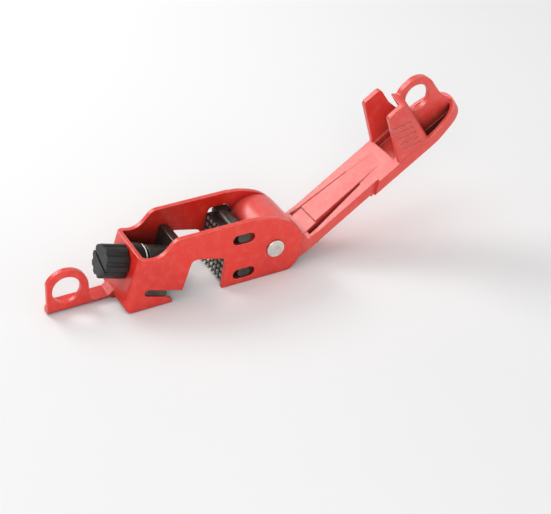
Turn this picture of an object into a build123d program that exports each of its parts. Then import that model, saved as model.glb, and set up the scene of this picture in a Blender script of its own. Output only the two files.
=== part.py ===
from build123d import *
import math
import os

# Clamp-on lockout for a circuit-breaker toggle: a folded steel channel that
# straddles the toggle, a thumbscrew jaw at the front, a knurled jaw at the
# rear that a cam on the lever pushes home, and two rings, one on the channel
# and one on the lever, that line up for a padlock shackle when it is shut.
#
# Frame: millimetres. Origin on the base plane and the middle plane, at the
# middle of the toggle opening. +X to the rear (pivot end), +Z up, -Y the near
# side, with the rivet head. Everything is drawn with the lever shut and with X
# measured from the pivot. The lever and the rear jaw are then moved to the open
# position, and write() shifts every part to the origin.

os.makedirs("parts", exist_ok=True)

# ---------------------------------------------------------------- dimensions
WIDTH = 19.0                 # over the side plates
SHEET = 1.5                  # sheet thickness
OUTER_Y = WIDTH / 2          # outer face of a side plate
INNER_Y = OUTER_Y - SHEET    # inner face of a side plate
FIT_Y = INNER_Y - 0.15       # half width of the parts between the side plates
GAP = 0.05                   # running clearance
SNUG = 0.02                  # clearance between parts that seat on each other
THROUGH = 20                 # half width of a cut across the whole product

PIVOT_Z = 9.4
PLATE_TOP = 21.3             # height of the side plates
ORIGIN_X = -23.0             # middle of the toggle opening, from the pivot
LEAN = 18.0                  # lean of the front wall and of the screw, degrees
WALL_X = -46.3               # outer face of the front wall at pivot height
WALL_TOP = 17.6              # top edge of the front wall

OPEN_ANGLE = 146.5           # opening angle of the lever, degrees
JAW_TRAVEL = 1.7             # travel of the rear jaw for the whole lever swing
CAM_SHUT = 9.55              # cam reach toward the jaw, shut

RING_X, RING_Z = -63.0, 7.3  # centre of the padlock holes, lever shut
RING_R = 6.8                 # outside radius of the channel's ring
HOLE_R = 4.4                 # padlock hole, for a 7 mm shackle

# rear jaw: keys that slide in slots of the side plates
SLOT_X, SLOT_LENGTH, SLOT_HEIGHT = -10.5, 7.3, 3.4
SLOT_HEIGHTS = (3.4, 15.6)   # Z of the two slots
KEY_LENGTH, KEY_HEIGHT = 4.35, 3.2
KEY_X = SLOT_X - SLOT_LENGTH / 2 + 0.1 + KEY_LENGTH / 2   # with the jaw forward
KEY_END_Y = 9.2              # outer end of the keys and of the front jaw's ears

AXIS_X, AXIS_Z = -45.42, 12.1   # screw axis where it meets the wall's outer face
THREAD_R = 2.5
SHANK_R = 1.75               # rivet shank
SLEEVE_R = 2.6               # outside radius of the pivot sleeve
WASHER_OUT = 0.40            # outer face of the washer, from the side plate
CLIP_START, CLIP_END = 5.0, 5.6   # retaining ring, along the screw

# front jaw's ears, along the screw and square to it
EAR_MID, EAR_UP = 8.95, -5.14     # middle of their slots
EAR_START, EAR_END = 4.95, 11.95
EAR_HALF = 0.87              # half height

PADDLE_TOP = 21.6            # upper face of the paddle
ARM_TOP = 21.0               # upper face of the arm's edges
CROWN_TOP = 22.15            # raised middle of the upper face
SKIN_UNDER = 20.3            # roof of the hollow under the paddle
LEVER_UNDER = 17.9           # underside of the arm and of the paddle's rim
PAD_Y = 9.0                  # half width of the paddle, outer face of the near tab

TAN_LEAN = math.tan(math.radians(LEAN))
COS_LEAN = math.cos(math.radians(LEAN))
SIN_LEAN = math.sin(math.radians(LEAN))

# screw frame: local x along the screw toward the rear, local y = +Y,
# local z up and square to the screw
SCREW = Plane(origin=(AXIS_X, 0, AXIS_Z), x_dir=(COS_LEAN, 0, -SIN_LEAN),
              z_dir=(SIN_LEAN, 0, COS_LEAN))


# ------------------------------------------------------------------- helpers
def wall_x(z, behind=0.0):
    """X of the plane parallel to the front wall, set behind its outer face."""
    return WALL_X + TAN_LEAN * (z - PIVOT_Z) + behind / COS_LEAN


def lines(*points):
    return [Line(a, b) for a, b in zip(points, points[1:])]


def polygon(*points):
    return make_face(Polyline(*points, close=True))


def prism(face, y0, y1):
    """Extrude a face drawn in X and Z from y0 to y1."""
    return extrude(Plane.XZ.offset(-y1) * face, amount=y1 - y0)


def slab(face, z0, z1):
    """Extrude a face drawn in X and Y from z0 to z1."""
    return extrude(Pos(0, 0, z0) * face, amount=z1 - z0)


def box(x0, x1, y0, y1, z0, z1):
    return Pos((x0 + x1) / 2, (y0 + y1) / 2, (z0 + z1) / 2) * Box(x1 - x0, y1 - y0, z1 - z0)


def obround(x, z, length, height, lean=0.0):
    slot = Sketch() + SlotOverall(length, height)
    return Pos(x, z, 0) * (Rot(0, 0, -lean) * slot)


def y_cylinder(x, z, radius, y0, y1):
    return Pos(x, (y0 + y1) / 2, z) * Rot(90, 0, 0) * Cylinder(radius, y1 - y0)


def pivot_cylinder(radius, y0, y1):
    return y_cylinder(0, PIVOT_Z, radius, y0, y1)


def screw_cylinder(radius, start, end):
    cylinder = Pos((start + end) / 2, 0, 0) * Rot(0, 90, 0) * Cylinder(radius, end - start)
    return SCREW.location * cylinder


def screw_box(*limits):
    return SCREW.location * box(*limits)


def along_screw(edge):
    return SCREW.to_local_coords(edge.center()).X


def is_flat_at(edge, y):
    """True for an edge that lies wholly in the plane at y or at -y."""
    return abs(abs(edge.center().Y) - y) < 1e-3 and edge.bounding_box().size.Y < 1e-3


def soften(part, edges, radius):
    """Fillet edges. The kernel can refuse a radius, so smaller ones are tried in
    turn, and the part is left sharp if none goes."""
    for factor in (1.0, 0.75, 0.5, 0.3):
        try:
            out = fillet(edges, radius * factor)
            if out.is_valid and out.volume > 0:
                return out
        except Exception:
            continue
    return part


def write(part, name):
    solids = [Pos(-ORIGIN_X, 0, 0) * s for s in part.solids()]
    body = solids[0] if len(solids) == 1 else Compound(children=solids)
    body.label = name
    export_step(body, f"parts/{name}.step")


# ------------------------------------------------------------- body channel
# (x, z) up the rear edge of a side plate, and along the dip behind the wall
REAR_EDGE = [
    (3.6, 0), (7.0, 1.6), (9.0, 5.1), (9.45, 9.4), (8.1, 14.0), (5.2, 17.15),
    (1.2, 19.35), (-2.0, 20.4), (-5.2, 21.0), (-7.6, 21.22), (-9.5, PLATE_TOP),
]
DIP = [(-30.6, PLATE_TOP), (-33.9, 19.6), (-36.8, 17.15), (-39.4, 16.6), (-42.4, 17.2)]


def wall_edges(part, y, length):
    """Edges along the lean of the front wall, at y and -y."""
    return [e for e in part.edges().filter_by(GeomType.LINE)
            if abs(abs(e.center().Y) - y) < 1e-3 and e.center().X < -30
            and abs(e.length - length / COS_LEAN) < 0.05]


def channel_blank():
    side = make_face([
        Line((wall_x(0), 0), REAR_EDGE[0]),
        Spline(*REAR_EDGE, tangents=[(1, 0), (-1, 0)]),
        Line(REAR_EDGE[-1], DIP[0]),
        Spline(*DIP, tangents=[(-1, 0), (-1, 0.16)]),
        *lines(DIP[-1], (wall_x(WALL_TOP), WALL_TOP), (wall_x(0), 0)),
    ])
    blank = prism(side, -OUTER_Y, OUTER_Y)
    return fillet(wall_edges(blank, OUTER_Y, WALL_TOP), 2.2)


def channel_void():
    """Space between the side plates, behind the front wall."""
    low, high, rear = -5, 40, 30
    void = prism(polygon((wall_x(low, SHEET), low), (rear, low), (rear, high),
                         (wall_x(high, SHEET), high)), -INNER_Y, INNER_Y)
    return fillet(wall_edges(void, INNER_Y, high - low), 0.8)


def foot_rounding():
    """Waste outside the rounded foot of the front wall, kept clear of the tongue."""
    foot = wall_x(0)
    corner = polygon((foot - 1, -1), (foot + 2.6, -1), (foot + 2.6, 2.6), (foot - 1, 2.6))
    rounding = Pos(foot + 2.85, 2.3, 0) * Circle(2.3)
    toe = prism(corner, -OUTER_Y - 1, OUTER_Y + 1) - prism(rounding, -OUTER_Y - 2, OUTER_Y + 2)
    toe = toe & box(foot - 1, foot + 1.9, -20, 20, -1, 1.7)
    return toe - box(-60, -40, 0, 5.6, -2, 4)


def window_face():
    """Toggle window, clamp notch and hook."""
    return make_face([
        *lines((-17.95, -1), (-17.8, 0), (-16.45, 8.6)),
        Spline((-16.45, 8.6), (-17.1, 10.15), (-18.7, 10.9), tangents=[(0.16, 1), (-1, 0.28)]),
        Line((-18.7, 10.9), (-23.6, 12.1)),
        Spline((-23.6, 12.1), (-25.7, 12.5), (-27.05, 12.2), (-27.75, 11.2),
               tangents=[(-1, 0.22), (-0.33, -1)]),
        *lines((-27.75, 11.2), (-30.6, 3.15), (-35.7, 4.85), (-36.2, 2.6), (-34.6, 1.55)),
        Spline((-34.6, 1.55), (-33.95, 0.75), (-34.6, 0), tangents=[(0.86, -0.5), (-1, 0)]),
        *lines((-34.6, 0), (-34.6, -1), (-17.95, -1)),
    ])


def tongue_with_ring(void):
    """Tongue folded forward from the foot of the wall, with the padlock ring."""
    tip_x, tongue_y = -69.2, 5.6
    wall_end = wall_x(0) + 1.2
    tongue = extrude(polygon((tip_x, 0), (wall_end, 0), (wall_end, tongue_y),
                             (-66.8, tongue_y), (tip_x, 2.9)), amount=SHEET)
    arc_angle = math.radians(52)     # end of the ring's arc, forward of its top
    arc_end = (RING_X - RING_R * math.sin(arc_angle), RING_Z + RING_R * math.cos(arc_angle))
    ring_rear = RING_X + RING_R
    ring = make_face([
        *lines((tip_x, 0), (-54.9, 0), (-54.9, SHEET)),
        Spline((-54.9, SHEET), (-55.95, 2.1), (ring_rear, 3.7), tangents=[(-1, 0), (0, 1)]),
        Line((ring_rear, 3.7), (ring_rear, RING_Z)),
        ThreePointArc((ring_rear, RING_Z), (RING_X, RING_Z + RING_R), arc_end),
        *lines(arc_end, (-68.9, 10.5), (tip_x, 0)),
    ])
    tongue = tongue + prism(ring, 0, SHEET)
    tongue = tongue - y_cylinder(RING_X, RING_Z, HOLE_R, -1, 3)
    bend = [e for e in tongue.edges().filter_by(Axis.X)
            if abs(e.center().Y) < 1e-3 and abs(e.center().Z) < 1e-3]
    tongue = soften(tongue, bend, 1.1)
    # wedge in the corner between the tongue and the wall
    root_x = wall_x(SHEET)
    root = polygon((root_x - 1.6, SHEET - 0.1), (root_x + 0.6, SHEET - 0.1),
                   (wall_x(SHEET + 1.7) + 0.3, SHEET + 1.7))
    tongue = tongue + prism(root, 0.0, tongue_y)
    return tongue - void


def soften_sheared(part, radius, test):
    """Soften outer side plate edges whose bounding box corners pass a test."""
    edges = [e for e in part.edges() if is_flat_at(e, OUTER_Y)
             and test(e.bounding_box().min, e.bounding_box().max)]
    return soften(part, edges, radius)


def body_channel():
    void = channel_void()
    channel = channel_blank() - void
    channel = channel - foot_rounding()
    channel = channel - prism(window_face(), -THROUGH, THROUGH)
    ear_slot = SCREW.from_local_coords(Vector(EAR_MID, 0, EAR_UP))
    channel = channel - prism(obround(ear_slot.X, ear_slot.Z, 8.4, 2.1, LEAN),
                              -THROUGH, THROUGH)
    for z in SLOT_HEIGHTS:
        channel = channel - prism(obround(SLOT_X, z, SLOT_LENGTH, SLOT_HEIGHT),
                                  -THROUGH, THROUGH)
    channel = channel - pivot_cylinder(SHANK_R + GAP, -THROUGH, THROUGH)
    channel = channel - screw_cylinder(3.52, -3, 4)     # hole for the spindle bush
    channel = channel + tongue_with_ring(void)
    # window edges, then the edges around the hook
    channel = soften_sheared(
        channel, 0.35, lambda low, high: low.X > -31 and high.X < -15 and high.Z < 13)
    return soften_sheared(
        channel, 0.3, lambda low, high: -42 < low.X and high.X < -30 and high.Z < 5
        and not (high.X < -35.8 and low.Z > 4))


# -------------------------------------------------------------- clamp lever
def lever_hub():
    """Hub between the side plates, with the cam on its front."""
    # involute, so the jaw moves in proportion to the lever's angle
    turn = math.radians(OPEN_ANGLE)
    slope = JAW_TRAVEL / turn
    steps = 12
    cam = []
    for i in range(steps + 1):
        angle = -math.pi + turn * i / steps
        reach = CAM_SHUT - slope * (angle + math.pi)
        cos, sin = math.cos(angle), math.sin(angle)
        cam.append((reach * cos + slope * sin, PIVOT_Z + reach * sin - slope * cos))
    end_angle = -math.pi + turn
    end_dir = (-math.sin(end_angle), math.cos(end_angle))
    flat = 5.2                       # straight run after the cam
    flat_end = (cam[-1][0] + flat * end_dir[0], cam[-1][1] + flat * end_dir[1])
    rear = [flat_end, (9.0, 12.0), (7.5, 15.0), (4.9, 17.6), (1.0, 19.2),
            (-2.2, 20.2), (-5.3, 20.75), (-7.6, 20.94), (-9.5, ARM_TOP)]
    neck = (-CAM_SHUT, LEVER_UNDER - 0.5)
    face = make_face([
        Line(neck, cam[0]),
        Spline(*cam, tangents=[(0, -1), end_dir]),
        Line(cam[-1], flat_end),
        Spline(*rear, tangents=[end_dir, (-1, 0)]),
        *lines(rear[-1], (-14, ARM_TOP), (-14, LEVER_UNDER), neck),
    ])
    hub = prism(face, -FIT_Y, FIT_Y)
    rims = [e for e in hub.edges() if is_flat_at(e, FIT_Y) and -12 < e.center().X < 9]
    return soften(hub, rims, 0.6)


def section(x, *points):
    """Polygon across the lever at x, its points given as (-Y, Z)."""
    return Plane(origin=(x, 0, 0), x_dir=(0, -1, 0), z_dir=(-1, 0, 0)) * polygon(*points)


def lever_web():
    """Central web under the arm, tapering away toward the tabs."""
    web = loft([
        section(-9.6, (-4.8, 16.6), (4.8, 16.6), (5.0, 19), (-5.0, 19)),
        section(-42.5, (-3.2, 17.9), (3.2, 17.9), (3.4, 19), (-3.4, 19)),
    ])
    return web - box(-15, -9, -20, 20, 16, 17.35)   # room for the rear jaw's upper key


def lever_flute(side):
    """Flute beside the web, dying out forward."""
    return loft([
        section(-11.0, (side * 4.85, 17.0), (side * 6.5, 17.0), (side * 6.5, 17.95),
                (side * 5.2, 19.5), (side * 4.85, 19.5)),
        section(-40.5, (side * 3.3, 17.0), (side * 3.6, 17.0), (side * 3.6, 17.92),
                (side * 3.4, 18.1), (side * 3.3, 18.1)),
    ])


def lever_paddle():
    rear_x, near_y = -33.0, -PAD_Y - 0.15
    plan = make_face([
        *lines((rear_x, -PAD_Y), (rear_x, FIT_Y), (-55.0, FIT_Y)),
        Spline((-55.0, FIT_Y), (-63.5, 7.35), (-68.9, 5.8), (-71.9, 3.2), (-72.9, -0.6),
               (-72.0, -4.3), (-69.2, -6.8), (-64.0, -8.3), (-56.0, near_y),
               tangents=[(-1, 0), (1, 0)]),
        Line((-56.0, near_y), (rear_x, -PAD_Y)),
    ])
    paddle = slab(plan, LEVER_UNDER, PADDLE_TOP)
    paddle = soften(paddle, [e for e in paddle.edges()
                             if abs(e.center().Z - PADDLE_TOP) < 1e-3
                             and e.center().X < rear_x - 0.2], 0.7)
    # the wide part stays over the dip of the side plates
    waste = prism(polygon((-37.9, LEVER_UNDER - 2), (-37.9, LEVER_UNDER),
                          (-34.0, PADDLE_TOP + 0.2), (-34.0, 25), (-20, 25), (-20, 10)),
                  -20, 20)
    return paddle - (waste - box(-60, 0, -FIT_Y, FIT_Y, 0, 40))


def paddle_pocket():
    """Hollow under the paddle, between its rim and the tabs."""
    plan = make_face([
        *lines((-54.0, -7.8), (-54.0, -5.5), (-45.9, -5.5), (-45.9, 5.5), (-54.0, 5.5),
               (-54.0, 6.5), (-57.0, 6.5)),
        Spline((-57.0, 6.5), (-63.5, 6.0), (-68.2, 4.6), (-71.3, -0.6), (-68.6, -5.6),
               (-64.0, -7.1), (-57.0, -7.8), tangents=[(-1, 0), (1, 0)]),
        Line((-57.0, -7.8), (-54.0, -7.8)),
    ])
    return slab(plan, 10, SKIN_UNDER)


def lever_crown():
    """Raised middle of the upper face."""
    plan = make_face([
        Line((-12, -7.0), (-12, 7.0)),
        Spline((-12, 7.0), (-20.0, 6.8), (-29.0, 6.2), (-33.7, 5.4), (-39.0, 4.6),
               (-44.6, 4.6), (-48.0, 5.5), (-52.0, 6.4), (-58.0, 6.6)),
        Spline((-58.0, 6.6), (-64.0, 5.9), (-68.4, 4.6), (-70.8, 2.4), (-71.5, -0.6),
               (-70.8, -3.6), (-68.6, -5.6), (-64.0, -6.9), (-58.0, -7.4),
               tangents=[(-1, 0), (1, 0)]),
        Spline((-58.0, -7.4), (-52.0, -7.3), (-48.0, -6.2), (-44.6, -5.1), (-39.0, -5.0),
               (-33.7, -5.7), (-29.0, -6.3), (-20.0, -6.8), (-12, -7.0)),
    ])
    crown = slab(plan, ARM_TOP - 0.2, CROWN_TOP)
    return soften(crown, [e for e in crown.edges()
                          if e.center().Z > CROWN_TOP - 0.05 and e.center().X < -12.2], 0.5)


def crown_ramp():
    """Rear end of the crown, sloping down toward the pivot."""
    front = -12.01
    ramp = slab(polygon((front, -7.0), (front, 7.0), (-3.5, 7.0), (-3.5, -7.0)),
                ARM_TOP - 0.4, CROWN_TOP)
    return ramp - prism(polygon((front, CROWN_TOP), (-3.4, 20.7), (-3.4, 26), (front, 26)),
                        -20, 20)


def near_tab():
    """Finger pad on the near side that jogs inward to the padlock ring plate."""
    plan = make_face([
        Line((-44.0, -PAD_Y), (-56.2, -PAD_Y)),
        Spline((-56.2, -PAD_Y), (-57.7, -8.45), (-58.4, -7.0), (-58.5, -5.6), (-58.65, -4.1),
               (-59.7, -3.1), tangents=[(-1, 0), (-1, 0.1)]),
        *lines((-59.7, -3.1), (-75.0, -3.1), (-75.0, -1.1), (-57.6, -1.1)),
        Spline((-57.6, -1.1), (-56.8, -2.0), (-56.6, -4.2), (-56.2, -6.5), (-54.9, -7.3),
               tangents=[(1, 0), (1, -0.05)]),
        *lines((-54.9, -7.3), (-44.0, -7.3), (-44.0, -PAD_Y)),
    ])
    outline = make_face([
        Line((-45.3, 21.0), (-50.5, 1.6)),
        Spline((-50.5, 1.6), (-50.95, 0.95), (-51.8, 0.75), tangents=[(-0.3, -1), (-1, 0)]),
        Line((-51.8, 0.75), (-56.2, 0.75)),
        Spline((-56.2, 0.75), (-57.7, 1.25), (-58.6, 2.0), (-59.5, 1.6), (-61.0, 1.05),
               (RING_X, 0.9), tangents=[(-1, 0), (-1, 0)]),
        ThreePointArc((RING_X, 0.9), (-68.0, 2.6), (-69.7, 7.3)),
        Line((-69.7, 7.3), (-69.8, 10.2)),
        Spline((-69.8, 10.2), (-70.3, 13.6), (-72.0, 17.4), tangents=[(-0.02, 1), (-0.55, 1)]),
        *lines((-72.0, 17.4), (-72.0, 20.8), (-45.3, 20.8), (-45.3, 21.0)),
    ])
    tab = slab(plan, -2, SKIN_UNDER + 0.5) & prism(outline, -12, 2)
    return tab - y_cylinder(RING_X, RING_Z, HOLE_R, -3.5, 0)


def far_tab():
    top = LEVER_UNDER + 0.8
    face = polygon((-45.3, top), (-49.9, 3.9), (-50.6, 3.2), (-56.2, 3.2), (-56.9, 4.0),
                   (-56.9, 9.2), (-58.3, 14.8), (-60.2, top))
    tab = prism(face, 6.1, FIT_Y)
    return soften(tab, [e for e in tab.edges().filter_by(Axis.Y) if e.center().Z < 17], 0.9)


def clamp_lever():
    lever = lever_hub()
    lever = lever + box(-46.5, -9.6, -FIT_Y, FIT_Y, LEVER_UNDER, ARM_TOP)   # arm
    lever = lever + lever_web()
    for side in (-1, 1):
        lever = lever - lever_flute(side)
    lever = lever + lever_paddle() - paddle_pocket()
    lever = lever + lever_crown() + crown_ramp()
    lever = lever + near_tab() + far_tab()
    # shallow leaning grooves across the near tab
    for k in range(5):
        groove = Pos(-52.9 + 0.12 * k, 6.4 + 2.25 * k, 0) * (
            Rot(0, 0, -LEAN - 4) * RectangleRounded(6.6, 0.95, 0.45))
        lever = lever - prism(groove, -PAD_Y - 1, -PAD_Y + 0.28)
    lever = lever - pivot_cylinder(SLEEVE_R + GAP, -THROUGH, THROUGH)
    lever = lever.solids().sort_by(SortBy.VOLUME)[-1]
    swing = Pos(0, 0, PIVOT_Z) * Rot(0, OPEN_ANGLE, 0) * Pos(0, 0, -PIVOT_Z)
    return Part() + swing * lever


# -------------------------------------------------------------------- pivot
def pivot_rivet():
    """Shank with a recessed head on the near side and a closed end on the far side."""
    shank = pivot_cylinder(SHANK_R, -OUTER_Y - 0.3, OUTER_Y + 0.2)
    head = pivot_cylinder(2.9, -OUTER_Y - 0.75, -OUTER_Y - SNUG)
    head = soften(head, [e for e in head.edges() if e.center().Y < -OUTER_Y - 0.5], 0.35)
    head = head - pivot_cylinder(0.9, -OUTER_Y - 1.0, -OUTER_Y - 0.62)
    tail = pivot_cylinder(2.6, OUTER_Y + WASHER_OUT + SNUG, OUTER_Y + 1.0)
    tail = soften(tail, [e for e in tail.edges() if e.center().Y > OUTER_Y + 0.9], 0.4)
    shank_end = pivot_cylinder(SHANK_R, OUTER_Y, OUTER_Y + 0.6)
    return shank + head + tail + shank_end


def rivet_washer():
    disc = pivot_cylinder(3.1, OUTER_Y + SNUG, OUTER_Y + WASHER_OUT)
    return Part() + (disc - pivot_cylinder(SHANK_R + SNUG, 0, THROUGH))


def pivot_sleeve():
    tube = pivot_cylinder(SLEEVE_R, -INNER_Y + SNUG, INNER_Y - SNUG)
    return Part() + (tube - pivot_cylinder(SHANK_R + SNUG, -THROUGH, THROUGH))


# ----------------------------------------------------------------- rear jaw
# drawn forward (lever shut), then moved back by its travel
FACE_BASE_X = -19.2          # knurl tips at the base
FACE_SLOPE = 0.161           # lean of the knurled face, X per Z
JAW_BASE, JAW_TOP = 0.5, 17.3
OPEN_SHIFT = Pos(JAW_TRAVEL, 0, 0)


def face_x(z, behind=0.0):
    return FACE_BASE_X + FACE_SLOPE * (z - 0.4) + behind


def knurl_grooves():
    """Crossed vee grooves that leave pyramids: upright ones, then level ones."""
    pitch = 2.1
    angle = math.atan(FACE_SLOPE)
    sin, cos = math.sin(angle), math.cos(angle)
    vee = polygon((-0.98, 0.03), (0.98, 0.03), (0, -0.9))
    grooves = []
    for i in range(-4, 4):
        plane = Plane(origin=(face_x(-1.5), (i + 0.5) * pitch, -1.5),
                      x_dir=(0, 1, 0), z_dir=(sin, 0, cos))
        grooves.append(extrude(plane * vee, amount=22))
    for j in range(8):
        z = 1.45 + j * pitch * cos
        plane = Plane(origin=(face_x(z), -9, z), x_dir=(-sin, 0, -cos), z_dir=(0, 1, 0))
        grooves.append(extrude(plane * vee, amount=18))
    return grooves


def rear_jaw():
    back = -CAM_SHUT - GAP
    jaw = prism(polygon((face_x(JAW_BASE), JAW_BASE), (back, JAW_BASE),
                        (back, JAW_TOP), (face_x(JAW_TOP), JAW_TOP)), -FIT_Y, FIT_Y)
    jaw = jaw - box(-30, 0, -5.3, 5.3, 15.9, 20)    # clearance for the lever's web
    # relieve the cheeks in front of the upper key
    jaw = jaw - prism(polygon((-25, 15.9), (face_x(16, 2.4), 15.9),
                              (face_x(17.5, 2.6), 17.6), (-25, 17.6)), -9, 9)
    for groove in knurl_grooves():
        jaw = jaw - groove
    for z in SLOT_HEIGHTS:
        jaw = jaw - prism(obround(KEY_X, z, KEY_LENGTH + 0.04, KEY_HEIGHT + 0.04),
                          -THROUGH, THROUGH)
    return Part() + OPEN_SHIFT * jaw


def rear_jaw_keys():
    keys = []
    for z in SLOT_HEIGHTS:
        key = prism(obround(KEY_X, z, KEY_LENGTH, KEY_HEIGHT), -KEY_END_Y, KEY_END_Y)
        ends = [e for e in key.edges() if abs(abs(e.center().Y) - KEY_END_Y) < 1e-3]
        keys.append(OPEN_SHIFT * soften(key, ends, 0.3))
    return Part() + keys


# ---------------------------------------------------------------- front jaw
def front_jaw():
    """Plate and boss square to the screw, with two legs whose ears ride in slots."""
    jaw = screw_box(13.4, 16.6, -FIT_Y, FIT_Y, -3.6, 8.5)
    jaw = soften(jaw, [e for e in jaw.edges().filter_by(Axis.Y) if e.center().Z > 12], 0.5)
    jaw = jaw + screw_cylinder(5.2, 6.4, 13.8)
    for side in (-1, 1):
        leg_y = sorted((side * 6.15, side * FIT_Y))
        ear_y = sorted((side * 7.6, side * KEY_END_Y))
        jaw = jaw + screw_box(EAR_START, 13.8, *leg_y, EAR_UP - EAR_HALF, -1.2)
        ear = screw_box(EAR_START, EAR_END, *ear_y, EAR_UP - EAR_HALF, EAR_UP + EAR_HALF)
        jaw = jaw + soften(ear, [e for e in ear.edges().filter_by(Axis.Y)], 0.8)
    # cut away the legs behind the ears
    jaw = jaw - screw_box(12.2, 30, -20, 20, -9, -3.65)
    return jaw - screw_cylinder(THREAD_R + GAP, 5, 15.3)


# ------------------------------------------------------- thumbscrew assembly
def spindle_bush():
    bush = screw_cylinder(3.5, 0.0, 1.6) + screw_cylinder(5.8, 1.52, 4.9)
    rim = [e for e in bush.edges().filter_by(GeomType.CIRCLE)
           if e.radius > 5.7 and along_screw(e) > 4.5]
    return soften(bush, rim, 0.3) - screw_cylinder(THREAD_R + GAP, -5, 20)


def screw_spindle():
    """Plain spindle with a groove for the retaining ring and a chamfered tip."""
    spindle = screw_cylinder(THREAD_R, -5.2, 15.0)
    groove = (screw_cylinder(4, CLIP_START - 0.04, CLIP_END + 0.04)
              - screw_cylinder(2.0, 4.5, 6.5))
    spindle = spindle - groove
    tip = [e for e in spindle.edges().filter_by(GeomType.CIRCLE) if along_screw(e) > 14.9]
    return chamfer(tip, 0.5)


def retaining_ring():
    clip = screw_cylinder(5.6, CLIP_START, CLIP_END) - screw_cylinder(2.03, 4, 7)
    rims = [e for e in clip.edges().filter_by(GeomType.CIRCLE) if e.radius > 5]
    return Part() + soften(clip, rims, 0.2)


def thumbscrew_knob():
    """Fluted knob with a screwdriver slot."""
    flutes, radius, flute_r, length = 10, 5.08, 0.9, 7.2
    star = Circle(radius)
    for i in range(flutes):
        angle = 2 * math.pi * (i + 0.5) / flutes
        star = star - Pos((radius + 0.35) * math.cos(angle),
                          (radius + 0.35) * math.sin(angle), 0) * Circle(flute_r)
    plane = Plane(origin=SCREW.from_local_coords(Vector(-0.25, 0, 0)), x_dir=(0, 1, 0),
                  z_dir=(-COS_LEAN, 0, SIN_LEAN))
    knob = extrude(plane * star, amount=length)
    knob = soften(knob, [e for e in knob.edges() if along_screw(e) < -7.5 + 0.0], 0.55)
    knob = knob - plane.location * (Pos(0, 0, length) * Rot(0, 0, -13) * Box(14, 0.95, 2.4))
    return knob - screw_cylinder(THREAD_R + SNUG, -5.25, 5)


for build in (body_channel, clamp_lever, pivot_rivet, rivet_washer, pivot_sleeve, rear_jaw,
              rear_jaw_keys, front_jaw, spindle_bush, screw_spindle, retaining_ring,
              thumbscrew_knob):
    write(build(), build.__name__)
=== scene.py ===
"""A small lever clamp with a thumbscrew, dressed for a studio render.

A red channel body carries a red lever on a rivet, two steel jaws and a screw with a black knob.
The clamp lies along X and is Z up; Y runs across it. The shut lever rises from the rivet
toward +X, and the screw slopes down toward +X. Metres, unless a name ends in _MM.
"""

import math
import random

import bmesh
import bpy
import numpy as np
from mathutils import Matrix, Vector, noise

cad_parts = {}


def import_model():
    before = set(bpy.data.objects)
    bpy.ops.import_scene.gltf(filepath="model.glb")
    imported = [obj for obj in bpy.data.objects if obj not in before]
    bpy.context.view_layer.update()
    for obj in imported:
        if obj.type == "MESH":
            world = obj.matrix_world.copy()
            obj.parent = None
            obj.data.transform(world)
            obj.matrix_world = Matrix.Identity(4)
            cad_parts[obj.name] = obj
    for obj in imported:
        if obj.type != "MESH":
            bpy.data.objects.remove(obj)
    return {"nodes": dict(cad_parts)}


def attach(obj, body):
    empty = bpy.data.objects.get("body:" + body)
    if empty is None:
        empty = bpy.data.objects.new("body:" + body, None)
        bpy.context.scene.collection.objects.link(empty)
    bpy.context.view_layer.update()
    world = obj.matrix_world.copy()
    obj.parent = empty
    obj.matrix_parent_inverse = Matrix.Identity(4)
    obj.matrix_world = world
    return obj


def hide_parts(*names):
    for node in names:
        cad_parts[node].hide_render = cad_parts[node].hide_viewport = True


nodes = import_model()["nodes"]
random.seed(7)
np.random.seed(7)
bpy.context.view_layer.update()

MM = 0.001
LEVER_PIVOT = Vector((0.023, 0.0, 0.0094))
LEVER_TURN = math.radians(146.5)
SCREW_TILT = math.radians(18)
SCREW_ORIGIN = Vector((-0.02242, 0.0, 0.0121))
SCREW_AXIS = Vector((math.cos(SCREW_TILT), 0.0, -math.sin(SCREW_TILT)))
SCREW_UP = Vector((math.sin(SCREW_TILT), 0.0, math.cos(SCREW_TILT)))
ACROSS = Vector((0, 1, 0))


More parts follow.
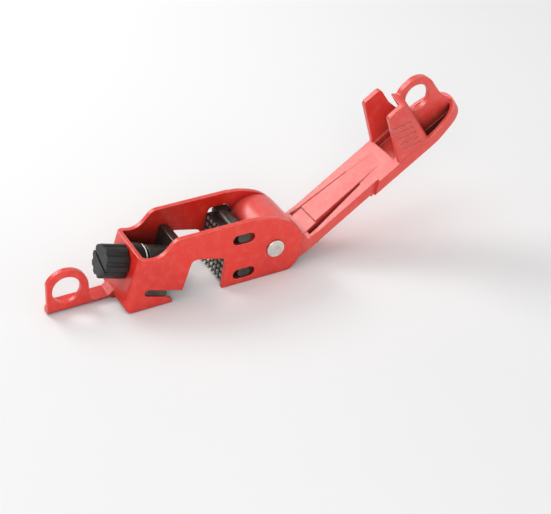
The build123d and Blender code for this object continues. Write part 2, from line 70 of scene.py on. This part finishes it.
# ---------------------------------------------------------------- material helpers
class Surface:
    """A principled material with short calls for wiring masks, layers and bumps."""

    def __init__(self, name, seed=0.0):
        self.seed = seed
        self.material = bpy.data.materials.new(name)
        self.material.use_nodes = True
        self.tree = self.material.node_tree
        self.tree.nodes.clear()
        output = self.node("ShaderNodeOutputMaterial")
        self.principled = self.node("ShaderNodeBsdfPrincipled")
        self.put(output.inputs[0], self.principled.outputs[0])
        self.place = self.node("ShaderNodeTexCoord").outputs["Object"]

    def put(self, socket, value):
        """Link a socket to another, or give it a plain value."""
        if isinstance(value, bpy.types.NodeSocket):
            self.tree.links.new(value, socket)
        else:
            socket.default_value = value

    def node(self, kind, inputs=None, **settings):
        made = self.tree.nodes.new(kind)
        for key, value in settings.items():
            setattr(made, key, value)
        for key, value in (inputs or {}).items():
            self.put(made.inputs[key], value)
        return made

    def noise(self, scale, detail=3.0, rough=0.55, distort=0.0, shift=0.0, place=None):
        """Noise whose fourth coordinate is the material's seed plus a shift."""
        return self.node("ShaderNodeTexNoise", {
            "Vector": place or self.place, "W": self.seed + shift, "Scale": scale,
            "Detail": detail, "Roughness": rough, "Distortion": distort,
        }, noise_dimensions="4D").outputs["Fac"]

    def ramp(self, value, span, to=(0.0, 1.0)):
        """Ease from to[0] to to[1] as the value crosses the span."""
        return self.node("ShaderNodeMapRange", {
            "Value": value, "From Min": span[0], "From Max": span[1],
            "To Min": to[0], "To Max": to[1],
        }, clamp=True, interpolation_type="SMOOTHSTEP").outputs["Result"]

    def fall(self, value, span):
        return self.ramp(value, span, to=(1.0, 0.0))

    def math(self, operation, first, second):
        values = {0: first, 1: second, 2: 0.0}
        return self.node("ShaderNodeMath", values, operation=operation).outputs[0]

    def add(self, first, second):
        return self.math("ADD", first, second)

    def sub(self, first, second):
        return self.math("SUBTRACT", first, second)

    def mul(self, first, *others):
        for other in others:
            first = self.math("MULTIPLY", first, other)
        return first

    def weighted(self, first, first_share, second, second_share):
        return self.add(self.mul(first, first_share), self.mul(second, second_share))

    def vary(self, base, pattern, spread):
        """Move a base value up and down with a pattern centred on 0.5."""
        return self.add(base, self.mul(self.sub(pattern, 0.5), spread))

    def mix(self, mask, under, over):
        under, over = ((*c, 1.0) if isinstance(c, tuple) else c for c in (under, over))
        values = {"Factor": mask, 6: under, 7: over}
        return self.node("ShaderNodeMix", values, data_type="RGBA").outputs[2]

    def layer(self, under, over, mask, amount):
        return self.mix(self.mul(mask, amount), under, over)

    def split(self, vector):
        return self.node("ShaderNodeSeparateXYZ", {0: vector}).outputs

    def geometry_normal(self):
        return self.node("ShaderNodeNewGeometry").outputs["Normal"]

    def edge(self, radius, span):
        """A rounded normal, and a mask that is 1 along edges and 0 on flats."""
        rounded = self.node("ShaderNodeBevel", {"Radius": radius}, samples=8).outputs[0]
        values = {0: rounded, 1: self.geometry_normal()}
        facing = self.node("ShaderNodeVectorMath", values, operation="DOT_PRODUCT")
        return rounded, self.ramp(self.sub(1.0, facing.outputs["Value"]), span)

    def occlusion(self, distance):
        values = {"Distance": distance}
        return self.node("ShaderNodeAmbientOcclusion", values, samples=6).outputs["AO"]

    def stretched(self, scale, rotation=(0.0, 0.0, 0.0)):
        values = {"Vector": self.place, "Rotation": rotation, "Scale": scale}
        return self.node("ShaderNodeMapping", values).outputs[0]

    def bump(self, height, strength, distance, normal=None):
        values = {"Strength": strength, "Distance": distance, "Height": height}
        if normal is not None:
            values["Normal"] = normal
        return self.node("ShaderNodeBump", values).outputs[0]

    def finish(self, **inputs):
        """Fill the principled inputs, named in lower case with underscores, and hand over."""
        for key, value in inputs.items():
            title = key.replace("_", " ").title().replace("Ior", "IOR")
            self.put(self.principled.inputs[title], value)
        return self.material


def scaled(color, factor):
    return tuple(channel * factor for channel in color)


def scaled_each(color, factors):
    return tuple(channel * factor for channel, factor in zip(color, factors))


# ---------------------------------------------------------------- painted shade masks
def lever_painted_shade(mat):
    """Painted shade: 1 in the lever's hollow on its -Y side, where the ring plate's shadow falls,
    found along the shut lever's own axes.
    """
    tip_start, tip_length = -0.061, 0.0102
    tip_middle_y, tip_half_width = -0.00063, 0.0072
    x, y, z = mat.split(mat.place)
    from_x = mat.sub(x, LEVER_PIVOT.x)
    from_z = mat.sub(z, LEVER_PIVOT.z)
    cosine, sine = math.cos(LEVER_TURN), math.sin(LEVER_TURN)
    along = mat.sub(mat.mul(from_x, cosine), mat.mul(from_z, sine))
    height = mat.add(mat.weighted(from_x, sine, from_z, cosine), LEVER_PIVOT.z)
    tall = mat.mul(mat.ramp(height, span=(0.0182, 0.0192)),
                   mat.fall(height, span=(0.02065, 0.02075)))
    side = mat.mul(mat.ramp(y, span=(-0.00795, -0.00785)),
                   mat.fall(y, span=(-0.00318, -0.00311)))
    # the mask ends in a half ellipse at the lever's tip
    beyond = mat.math("MAXIMUM", mat.sub(tip_start, along), 0.0)
    tip_along = mat.math("DIVIDE", beyond, tip_length)
    tip_across = mat.math("DIVIDE", mat.add(y, -tip_middle_y), tip_half_width)
    squares = mat.weighted(tip_along, tip_along, tip_across, tip_across)
    zone = mat.mul(side, mat.fall(squares, span=(0.98, 1.05)),
                   mat.fall(along, span=(-0.0560, -0.0545)))
    cloud = mat.noise(scale=240, detail=4, rough=0.6, shift=21)
    return mat.mul(mat.mul(tall, zone), mat.ramp(cloud, span=(0.25, 0.6), to=(0.82, 1.0)))


def channel_painted_shade(mat):
    """Painted shade inside the channel: strongest at its -X end, thinning along the screw axis."""
    x, y, z = mat.split(mat.place)
    from_x = mat.add(x, -SCREW_ORIGIN.x)
    from_z = mat.sub(z, SCREW_ORIGIN.z)
    along = mat.sub(mat.mul(from_x, math.cos(SCREW_TILT)), mat.mul(from_z, math.sin(SCREW_TILT)))
    inner = mat.mul(mat.fall(mat.math("ABSOLUTE", y, 0.0), span=(0.00804, 0.00815)),
                    mat.ramp(along, span=(0.00138, 0.00146)))
    # faces that look up get no painted shade
    normal_z = mat.split(mat.geometry_normal())["Z"]
    inner = mat.mul(inner, mat.fall(normal_z, span=(0.45, 0.75)))
    cloud = mat.noise(scale=110, detail=4, rough=0.6, distort=0.4, shift=23)
    fade = mat.ramp(mat.vary(along, cloud, spread=0.012), span=(0.006, 0.025), to=(1.0, 0.28))
    low = mat.ramp(z, span=(0.0075, 0.0205), to=(1.0, 0.45))
    return mat.mul(inner, fade, low)


# ---------------------------------------------------------------- materials
def powder_coat(name, base, deep, pale, seed, rough, painted_shade_mask):
    """Powder coat with orange peel, pinholes, pale thin edges partly painted as highlights, and
    painted shade in its corners and hollows.
    """
    lit_edge = (0.97, 0.62, 0.50)
    painted_shade_color = (0.060, 0.009, 0.006)
    mat = Surface(name, seed)
    rounded, edge = mat.edge(radius=0.00042, span=(0.012, 0.30))
    broad = mat.noise(scale=38, distort=0.4)
    mottle = mat.noise(scale=420, detail=4, rough=0.6, shift=3)
    color = mat.mix(mat.ramp(broad, span=(0.36, 0.66)), deep, base)
    color = mat.layer(color, pale, mat.ramp(mottle, span=(0.42, 0.72)), amount=0.16)
    near_open = mat.occlusion(distance=0.0035)
    wide_open = mat.occlusion(distance=0.014)
    # painted shade in corners, from ambient occlusion
    painted_corner_shade = mat.fall(near_open, span=(0.15, 0.85))
    color = mat.layer(color, scaled(deep, 0.34), painted_corner_shade, amount=0.55)
    # painted shade in the hollows, broken into patches
    patches = mat.noise(scale=120, detail=4, rough=0.6, shift=13)
    painted_hollow_shade = mat.mul(mat.fall(wide_open, span=(0.10, 0.62)),
                    mat.ramp(patches, span=(0.2, 0.6), to=(0.72, 1.0)))
    color = mat.layer(color, scaled_each(deep, (0.16, 0.22, 0.25)), painted_hollow_shade, amount=0.80)
    # the coat pulls thin over the edges and shows paler there, which is partly a painted
    # highlight; the edges that face up get a painted highlight
    wear = mat.noise(scale=900, detail=4, rough=0.65, shift=9)
    worn = mat.mul(edge, mat.ramp(wear, span=(0.32, 0.62), to=(0.35, 1.0)))
    color = mat.layer(color, pale, worn, amount=0.55)
    lit = mat.mul(worn, mat.ramp(mat.split(rounded)["Z"], span=(0.35, 0.85)))
    color = mat.layer(color, lit_edge, lit, amount=0.85)
    # painted shade from the given mask, a dark red-brown
    painted_shade = painted_shade_mask(mat)
    color = mat.layer(color, painted_shade_color, painted_shade, amount=0.94)
    # pinholes and small nicks
    cells = mat.node("ShaderNodeTexVoronoi", {"Vector": mat.place, "Scale": 520}, feature="F1")
    pin_patches = mat.noise(scale=210, detail=2, shift=5)
    pins = mat.mul(mat.fall(cells.outputs["Distance"], span=(0.03, 0.085)),
                   mat.ramp(pin_patches, span=(0.58, 0.66)))
    color = mat.layer(color, scaled(deep, 0.3), pins, amount=0.55)
    peel = mat.noise(scale=1150, rough=0.5, distort=0.3, shift=1)
    grain = mat.noise(scale=5200, detail=2, rough=0.5, shift=2)
    wave = mat.noise(scale=150, detail=2, rough=0.5, distort=0.2, shift=7)
    height = mat.weighted(peel, 0.75, grain, 0.18)
    height = mat.sub(height, mat.mul(pins, 0.9))
    waved = mat.bump(wave, strength=0.35, distance=0.00022, normal=rounded)
    # rougher in corners, at full strength, and under the painted shade
    blotch = mat.noise(scale=260, detail=5, rough=0.65, shift=4)
    roughness = mat.vary(rough, blotch, spread=0.34)
    dull = mat.ramp(near_open, span=(0.2, 0.9), to=(0.18, 0.0))
    roughness = mat.add(roughness, mat.mul(dull, 1.0))
    roughness = mat.add(roughness, mat.mul(painted_shade, 0.30))
    # the coat and the specular fade under the painted shade
    outside_painted_shade = mat.sub(1.0, painted_shade)
    return mat.finish(
        base_color=color, roughness=roughness, metallic=0.0, ior=1.52,
        normal=mat.bump(height, strength=0.55, distance=0.00006, normal=waved),
        coat_weight=mat.mul(outside_painted_shade, 0.35), coat_roughness=0.32, coat_normal=waved,
        specular_ior_level=mat.add(mat.mul(outside_painted_shade, 0.38), 0.12))


def black_steel(name, seed, rough, lift=1.0):
    """Oiled black steel, rubbed grey at its edges; lift brightens the black."""
    mat = Surface(name, seed)
    rounded, edge = mat.edge(radius=0.0003, span=(0.02, 0.32))
    cloud = mat.noise(scale=160, detail=5, rough=0.62, distort=0.5)
    fine = mat.noise(scale=2300, detail=4, rough=0.6, shift=2)
    color = mat.mix(mat.ramp(cloud, span=(0.3, 0.7)),
                    scaled((0.014, 0.0135, 0.012), lift), scaled((0.042, 0.040, 0.034), lift))
    specks = mat.ramp(fine, span=(0.45, 0.8))
    color = mat.layer(color, scaled((0.08, 0.077, 0.066), lift), specks, amount=0.35)
    wear = mat.noise(scale=720, detail=5, rough=0.7, shift=5)
    worn = mat.mul(edge, mat.ramp(wear, span=(0.36, 0.60)))
    color = mat.layer(color, (0.30, 0.29, 0.275), worn, amount=0.72)
    along_x = mat.stretched(scale=(1.0, 14.0, 14.0))
    lines = mat.noise(scale=520, detail=4, rough=0.6, place=along_x, shift=6)
    height = mat.weighted(fine, 0.5, lines, 0.5)
    blotch = mat.noise(scale=330, detail=5, rough=0.7, shift=4)
    return mat.finish(
        base_color=color, roughness=mat.vary(rough, blotch, spread=0.5), metallic=0.78,
        normal=mat.bump(height, strength=0.5, distance=0.00005, normal=rounded))


def bare_steel(name, base, seed, rough):
    """Bright steel with haze, warm patches, scratches and small dings."""
    mat = Surface(name, seed)
    rounded, edge = mat.edge(radius=0.0003, span=(0.02, 0.3))
    haze = mat.noise(scale=300, detail=5, rough=0.62, distort=0.4)
    color = mat.mix(mat.ramp(haze, span=(0.3, 0.72)), scaled(base, 0.72), base)
    warm = mat.ramp(mat.noise(scale=90, detail=2, rough=0.5, shift=8), span=(0.45, 0.7))
    color = mat.layer(color, scaled_each(base, (0.95, 0.88, 0.72)), warm, amount=0.25)
    # painted shade in corners, from ambient occlusion
    painted_corner_shade = mat.fall(mat.occlusion(distance=0.0016), span=(0.2, 0.85))
    color = mat.layer(color, scaled(base, 0.2), painted_corner_shade, amount=0.6)
    color = mat.layer(color, (0.86, 0.85, 0.82), edge, amount=0.4)
    slanted = mat.stretched(scale=(1.0, 9.0, 22.0), rotation=(0.3, 0.2, 0.7))
    scratches = mat.noise(scale=700, detail=4, rough=0.6, place=slanted, shift=6)
    dings = mat.noise(scale=1500, rough=0.6, shift=7)
    height = mat.weighted(scratches, 0.45, dings, 0.55)
    blotch = mat.noise(scale=420, detail=5, rough=0.7, shift=4)
    return mat.finish(
        base_color=color, roughness=mat.vary(rough, blotch, spread=0.4), metallic=1.0,
        normal=mat.bump(height, strength=0.5, distance=0.00005, normal=rounded))


def moulded_plastic(name, seed):
    """Black moulded plastic with a fine grain, smoother along its edges."""
    mat = Surface(name, seed)
    rounded, edge = mat.edge(radius=0.00035, span=(0.02, 0.4))
    cloud = mat.noise(scale=140, detail=4, rough=0.6)
    color = mat.mix(mat.ramp(cloud, span=(0.3, 0.7)),
                    (0.0085, 0.0085, 0.0095), (0.020, 0.020, 0.021))
    dust = mat.ramp(mat.noise(scale=650, detail=6, rough=0.72, shift=3), span=(0.52, 0.8))
    color = mat.layer(color, (0.085, 0.082, 0.08), dust, amount=0.35)
    color = mat.layer(color, (0.12, 0.12, 0.122), edge, amount=0.35)
    grain = mat.noise(scale=4200, rough=0.6, shift=2)
    lumps = mat.noise(scale=700, detail=2, rough=0.5, shift=9)
    height = mat.weighted(grain, 0.6, lumps, 0.4)
    blotch = mat.noise(scale=380, detail=5, rough=0.7, shift=4)
    roughness = mat.vary(0.44, blotch, spread=0.36)
    return mat.finish(
        base_color=color, roughness=mat.sub(roughness, mat.mul(edge, 0.12)), metallic=0.0,
        normal=mat.bump(height, strength=0.6, distance=0.00006, normal=rounded))


def knurled_steel(name, seed):
    """Black steel with bright knurl tips, found by depth behind the sloping jaw face."""
    face_x, face_slope = 0.00544, 0.161  # the face is x = face_x + face_slope * z
    mat = Surface(name, seed)
    rounded, edge = mat.edge(radius=0.00022, span=(0.02, 0.3))
    x, _, z = mat.split(mat.place)
    depth = mat.sub(x, mat.add(mat.mul(z, face_slope), face_x))
    crest = mat.fall(depth, span=(0.00008, 0.00078))
    cloud = mat.noise(scale=420, detail=5, rough=0.65, distort=0.4)
    fine = mat.noise(scale=2600, detail=4, rough=0.6, shift=2)
    color = mat.mix(mat.ramp(cloud, span=(0.3, 0.7)),
                    (0.010, 0.0098, 0.0098), (0.034, 0.033, 0.030))
    rubbed = mat.ramp(cloud, span=(0.25, 0.6), to=(0.55, 1.0))
    color = mat.layer(color, (0.42, 0.42, 0.37), crest, amount=rubbed)
    worn = mat.mul(edge, mat.ramp(fine, span=(0.3, 0.6)))
    color = mat.layer(color, (0.36, 0.35, 0.32), worn, amount=0.55)
    blotch = mat.noise(scale=500, detail=5, rough=0.7, shift=4)
    return mat.finish(
        base_color=color, roughness=mat.vary(0.36, blotch, spread=0.4), metallic=0.7,
        normal=mat.bump(fine, strength=0.45, distance=0.00005, normal=rounded))


def card():
    """Near-white card for the backdrop."""
    mat = Surface("card")
    color = mat.mix(mat.ramp(mat.noise(scale=3.0), span=(0.3, 0.7)),
                    (0.86, 0.86, 0.86), (0.89, 0.89, 0.885))
    fibres = mat.noise(scale=900, detail=4, rough=0.6)
    return mat.finish(base_color=color, roughness=0.75, specular_ior_level=0.2,
                      normal=mat.bump(fibres, strength=0.15, distance=0.00004))


# ---------------------------------------------------------------- meshes
def add_smooth_object(name, bm, material):
    mesh = bpy.data.meshes.new(name)
    bm.to_mesh(mesh)
    bm.free()
    for face in mesh.polygons:
        face.use_smooth = True
    made = bpy.data.objects.new(name, mesh)
    bpy.context.scene.collection.objects.link(made)
    made.data.materials.append(material)
    return made


# Screw, in millimetres; stations run along its axis from SCREW_ORIGIN
SCREW_START_MM, SCREW_END_MM = -5.2, 15.0
PITCH_MM = 0.8
STEPS_PER_PITCH = 10
SCREW_SIDES = 56
SCREW_RADIUS_MM = 2.5
CREST_RADIUS_MM = 2.495
LARGEST_RADIUS_MM = 2.498
THREAD_DEPTH_MM = 0.46
THREAD_START_MM, THREAD_FADE_MM = 6.2, 0.8
ROOT_SHARE, FLANK_SHARE = 0.12, 0.70  # of half a pitch
GROOVE_MM = (4.96, 5.64)
GROOVE_RADIUS_MM = 2.0
CHAMFER_MM = 0.5
START_RADIUS_MM = 2.3
END_BULGE_MM = 0.08
UNEVEN_MM = 0.012


def screw_radius(station, side, angle):
    """Radius in mm of the screw at a station and side: thread, plain neck, groove, chamfer."""
    turn = (station / PITCH_MM - side / SCREW_SIDES) % 1.0
    triangle = 1.0 - abs(2.0 * turn - 1.0)
    tooth = min(1.0, max(0.0, (triangle - ROOT_SHARE) / FLANK_SHARE))
    faded = THREAD_DEPTH_MM * (station - THREAD_START_MM) / THREAD_FADE_MM
    depth = min(THREAD_DEPTH_MM, max(0.0, faded))
    radius = CREST_RADIUS_MM - depth * (1.0 - tooth)
    spot = Vector((station * 2.1, math.cos(angle) * 2, math.sin(angle) * 2))
    radius = min(radius - UNEVEN_MM * noise.noise(spot), LARGEST_RADIUS_MM)
    if GROOVE_MM[0] <= station <= GROOVE_MM[1]:
        radius = GROOVE_RADIUS_MM
    chamfer_start = SCREW_END_MM - CHAMFER_MM
    if station > chamfer_start:
        radius = min(radius, SCREW_RADIUS_MM - (station - chamfer_start))
    if station == SCREW_START_MM:
        radius = min(radius, START_RADIUS_MM)
    return radius


def make_spindle(material):
    """The screw, with its thread cut in as rings of vertices."""
    length = SCREW_END_MM - SCREW_START_MM
    steps = int(length / (PITCH_MM / STEPS_PER_PITCH))
    bm = bmesh.new()
    rings = []
    for i in range(steps + 1):
        station = SCREW_START_MM + length * i / steps
        ring = []
        for k in range(SCREW_SIDES):
            angle = 2 * math.pi * k / SCREW_SIDES
            radius = screw_radius(station, k, angle)
            ring.append(bm.verts.new(
                SCREW_ORIGIN + SCREW_AXIS * (station * MM)
                + ACROSS * (radius * MM * math.cos(angle))
                + SCREW_UP * (radius * MM * math.sin(angle))))
        rings.append(ring)
    for ring, following in zip(rings, rings[1:]):
        for k in range(SCREW_SIDES):
            j = (k + 1) % SCREW_SIDES
            bm.faces.new((ring[k], following[k], following[j], ring[j]))
    # close each end with a fan, the second wound the other way round
    for ring, station, flip in ((rings[0], SCREW_START_MM, False),
                                (rings[-1], SCREW_END_MM + END_BULGE_MM, True)):
        centre = bm.verts.new(SCREW_ORIGIN + SCREW_AXIS * (station * MM))
        for k in range(SCREW_SIDES):
            pair = (ring[k], ring[(k + 1) % SCREW_SIDES])
            bm.faces.new((*(pair[::-1] if flip else pair), centre))
    bmesh.ops.recalc_face_normals(bm, faces=bm.faces)
    spindle = add_smooth_object("spindle_threaded", bm, material)
    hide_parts("screw_spindle")
    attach(spindle, "thumbscrew_body")


def make_backdrop():
    """A sheet that lies flat under the clamp and sweeps up on the +Y side."""
    start_y, flat_end_y = -0.9, 1.2
    bend_radius, top_z = 0.6, 2.2
    half_width, columns = 2.4, 25
    steps, flat_share = 60, 0.55
    drop = 0.00015  # keeps the sheet just below z = 0
    profile = []
    for i in range(steps + 1):
        share = i / steps
        if share < flat_share:
            profile.append((start_y + (flat_end_y - start_y) * share / flat_share, 0.0))
        else:
            bend = (share - flat_share) / (1 - flat_share) * math.pi / 2
            profile.append((flat_end_y + bend_radius * math.sin(bend),
                            bend_radius * (1 - math.cos(bend))))
    profile.append((flat_end_y + bend_radius, top_z))
    bm = bmesh.new()
    rows = [[bm.verts.new((x, y, z - drop)) for x in np.linspace(-half_width, half_width, columns)]
            for y, z in profile]
    for row, following in zip(rows, rows[1:]):
        for k in range(columns - 1):
            bm.faces.new((row[k], row[k + 1], following[k + 1], following[k]))
    add_smooth_object("backdrop", bm, card())


# ---------------------------------------------------------------- light and camera
def add_area(name, place, size, energy, color=(1, 1, 1), size_y=None, target=(0.01, 0, 0.02)):
    light = bpy.data.lights.new(name, "AREA")
    light.energy = energy
    light.color = color
    light.size = size
    if size_y:
        light.shape = "RECTANGLE"
        light.size_y = size_y
    lamp = bpy.data.objects.new(name, light)
    bpy.context.scene.collection.objects.link(lamp)
    lamp.location = place
    lamp.rotation_mode = "QUATERNION"
    lamp.rotation_quaternion = (Vector(target) - Vector(place)).to_track_quat("-Z", "Y")


def make_world():
    """Soft bluish light, while the camera sees plain white beyond the sheet."""
    world = bpy.data.worlds.new("studio")
    world.use_nodes = True
    tree = world.node_tree
    soft = tree.nodes["Background"]
    seen = tree.nodes.new("ShaderNodeBackground")
    for background, color, strength in ((soft, (0.96, 0.97, 1.0, 1.0), 0.40),
                                        (seen, (1.0, 1.0, 1.0, 1.0), 0.86)):
        background.inputs[0].default_value = color
        background.inputs[1].default_value = strength
    path = tree.nodes.new("ShaderNodeLightPath")
    blend = tree.nodes.new("ShaderNodeMixShader")
    tree.links.new(path.outputs["Is Camera Ray"], blend.inputs[0])
    tree.links.new(soft.outputs[0], blend.inputs[1])
    tree.links.new(seen.outputs[0], blend.inputs[2])
    tree.links.new(blend.outputs[0], tree.nodes["World Output"].inputs[0])
    bpy.context.scene.world = world


def make_camera(azimuth, elevation, roll, distance):
    """A long lens aimed at the lever's pivot, from the -X, -Y side and above; degrees."""
    a, e, r = (math.radians(angle) for angle in (azimuth, elevation, roll))
    back = Vector((math.sin(a) * math.cos(e), -math.cos(a) * math.cos(e), math.sin(e)))
    right = Vector((math.cos(a), math.sin(a), 0))
    up = Vector((-math.sin(a) * math.sin(e), math.cos(a) * math.sin(e), math.cos(e)))
    rolled_right = right * math.cos(r) - up * math.sin(r)
    rolled_up = right * math.sin(r) + up * math.cos(r)
    lens = bpy.data.cameras.new("cam")
    camera = bpy.data.objects.new("cam", lens)
    bpy.context.scene.collection.objects.link(camera)
    turn = Matrix((rolled_right, rolled_up, back)).transposed()
    camera.matrix_world = Matrix.Translation(LEVER_PIVOT + back * distance) @ turn.to_4x4()
    lens.sensor_width = 36.0
    lens.lens = 85.2239564
    lens.shift_x = 0.0273321234
    lens.shift_y = -0.0452268603
    lens.clip_start = 0.01
    lens.clip_end = 20
    bpy.context.scene.camera = camera


# ---------------------------------------------------------------- build
red_body = powder_coat(
    "powder_coat_body", base=(0.84, 0.023, 0.007), deep=(0.74, 0.015, 0.006),
    pale=(0.93, 0.24, 0.17), seed=0.0, rough=0.36, painted_shade_mask=channel_painted_shade)
# the lever's red is paler than the body's, a painted sheen
red_lever_painted_sheen = powder_coat(
    "powder_coat_lever_painted_sheen", base=(0.82, 0.062, 0.046), deep=(0.72, 0.050, 0.038),
    pale=(0.93, 0.30, 0.25), seed=11.0, rough=0.38, painted_shade_mask=lever_painted_shade)
black = black_steel("black_oxide_bush", seed=6.0, rough=0.32)
zinc = bare_steel("zinc_plate", base=(0.86, 0.85, 0.80), seed=1.0, rough=0.27)
turned = bare_steel("turned_steel", base=(0.50, 0.49, 0.47), seed=4.0, rough=0.34)
knurled = knurled_steel("knurled_black_steel", seed=5.0)
phosphated = black_steel("phosphated_steel", seed=8.0, rough=0.34, lift=2.6)
plastic = moulded_plastic("moulded_black", seed=3.0)

PIECE_MATERIALS = {
    "body_channel": red_body, "clamp_lever": red_lever_painted_sheen, "pivot_rivet": zinc,
    "pivot_sleeve": turned, "rivet_washer": turned, "rear_jaw": knurled,
    "rear_jaw_keys": phosphated, "front_jaw": phosphated, "screw_spindle": black,
    "spindle_bush": black, "retaining_ring": zinc, "thumbscrew_knob": plastic,
}
for piece, material in PIECE_MATERIALS.items():
    slots = nodes[piece].data.materials
    slots.clear()
    slots.append(material)

make_spindle(phosphated)
make_backdrop()

add_area("overhead", place=(-0.10, 0.10, 0.75), size=0.8, size_y=0.6, energy=1.75)
add_area("sheen", place=(-0.20, 0.47, 0.42), size=0.30, energy=1.9,
         color=(1.0, 0.99, 0.975), target=(0.05, 0, 0.03))
add_area("key", place=(-0.36, -0.61, 0.42), size=0.40, energy=2.05, color=(1.0, 0.985, 0.955))
add_area("fill", place=(0.55, -0.60, 0.25), size=0.6, energy=0.9, color=(0.97, 0.985, 1.0))
add_area("rim", place=(0.45, 0.65, 0.35), size=0.5, energy=0.4)
make_world()

view = bpy.context.scene.view_settings
view.view_transform = "Standard"
view.look = "None"
view.exposure = 0.0

make_camera(azimuth=-28.5, elevation=33.55, roll=-1.7, distance=0.400)
